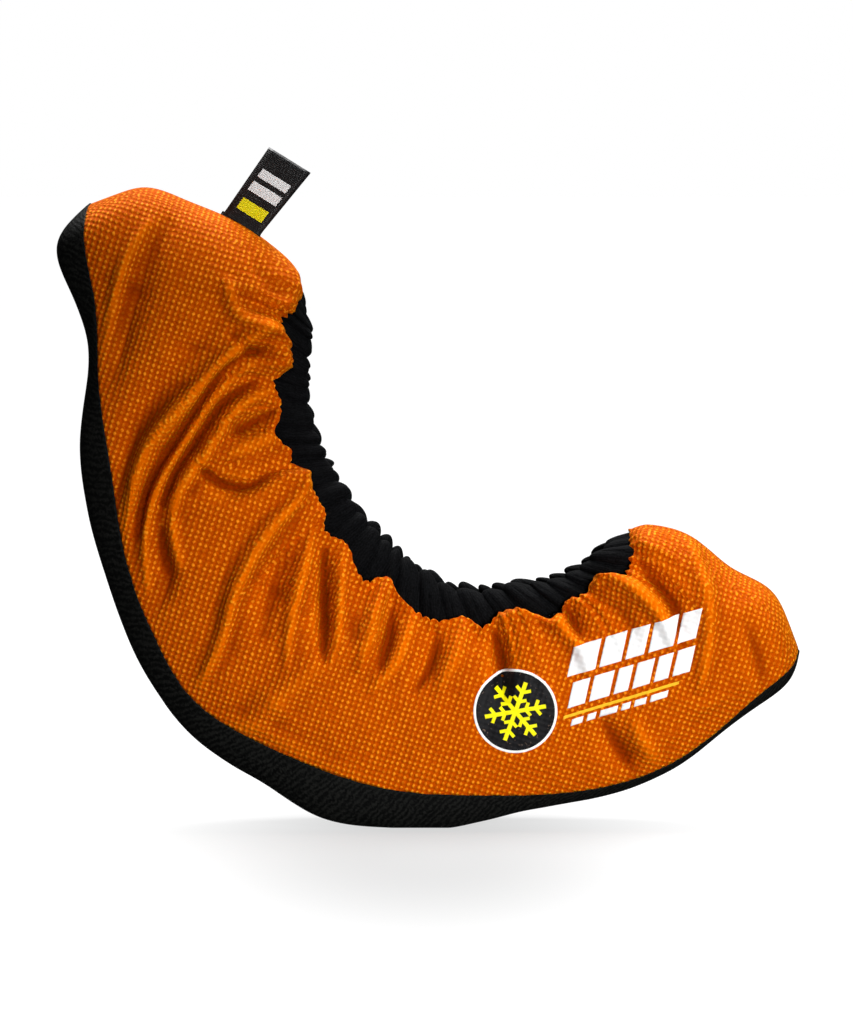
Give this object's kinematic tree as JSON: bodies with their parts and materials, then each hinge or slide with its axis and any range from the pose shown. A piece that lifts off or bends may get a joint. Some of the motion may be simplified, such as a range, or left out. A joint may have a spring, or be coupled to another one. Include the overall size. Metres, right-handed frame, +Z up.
{
  "type": "skate blade guard",
  "caption": "Soft walkable skate blade guard: a sewn fabric pocket with a tough sole strip, curled into a crescent by its gathered elastic mouth.",
  "frame": {"origin": "on the ground under the middle of the guard's box, as it stands by itself on its sole", "axes": "+X towards the toe end, +Z up, Y across the blade pocket; the heel tip stands high at -X"},
  "size_m": [0.222, 0.0393, 0.205],
  "materials": {
    "sole_rubber": "matte ribbed rubberised strip",
    "woven_shell": "coarse basket weave nylon with a soft sheen",
    "lining_cloth": "looped terry pile",
    "pad_felt": "dense pressed felt",
    "collar_knit": "gathered rib-knit binding",
    "elastic_web": "braided elastic",
    "seam_tape": "flat woven tape",
    "label_ribbon": "tight satin ribbon",
    "badge_ink": "flexible printed film",
    "stripe_ink": "flexible printed film"
  },
  "bodies": {
    "toe_half": {"sole_strip_toe": "sole_rubber", "right_panel_toe": "woven_shell", "left_panel_toe": "woven_shell", "right_lining_toe": "lining_cloth", "left_lining_toe": "lining_cloth", "lining_base_toe": "lining_cloth", "blade_pad_toe": "pad_felt", "collar_toe": "collar_knit", "elastic_toe": "elastic_web", "right_seam_tape_toe": "seam_tape", "left_seam_tape_toe": "seam_tape", "toe_spine_tape": "seam_tape", "badge_print": "badge_ink", "stripe_print": "stripe_ink"},
    "heel_half": {"sole_strip_heel": "sole_rubber", "right_panel_heel": "woven_shell", "left_panel_heel": "woven_shell", "right_lining_heel": "lining_cloth", "left_lining_heel": "lining_cloth", "lining_base_heel": "lining_cloth", "blade_pad_heel": "pad_felt", "collar_heel": "collar_knit", "elastic_heel": "elastic_web", "right_seam_tape_heel": "seam_tape", "left_seam_tape_heel": "seam_tape", "heel_spine_tape": "seam_tape", "tab_anchor": "label_ribbon"},
    "tab": {"pull_tab": "label_ribbon"}
  },
  "joints": [
    {"name": "flex", "type": "hinge", "parent": "toe_half", "child": "heel_half", "pos_m": [-0.043, 0, 0.006], "axis": [0, -1, 0], "range_deg": [0, 50], "stiffness_Nm_per_rad": 0.8, "springref_deg": -20.05},
    {"name": "tab_flop", "type": "hinge", "parent": "heel_half", "child": "tab", "pos_m": [-0.0549, 0, 0.1819], "axis": [0.8499, 0, -0.527], "range_deg": [-70, 70], "stiffness_Nm_per_rad": 0.0015}
  ]
}
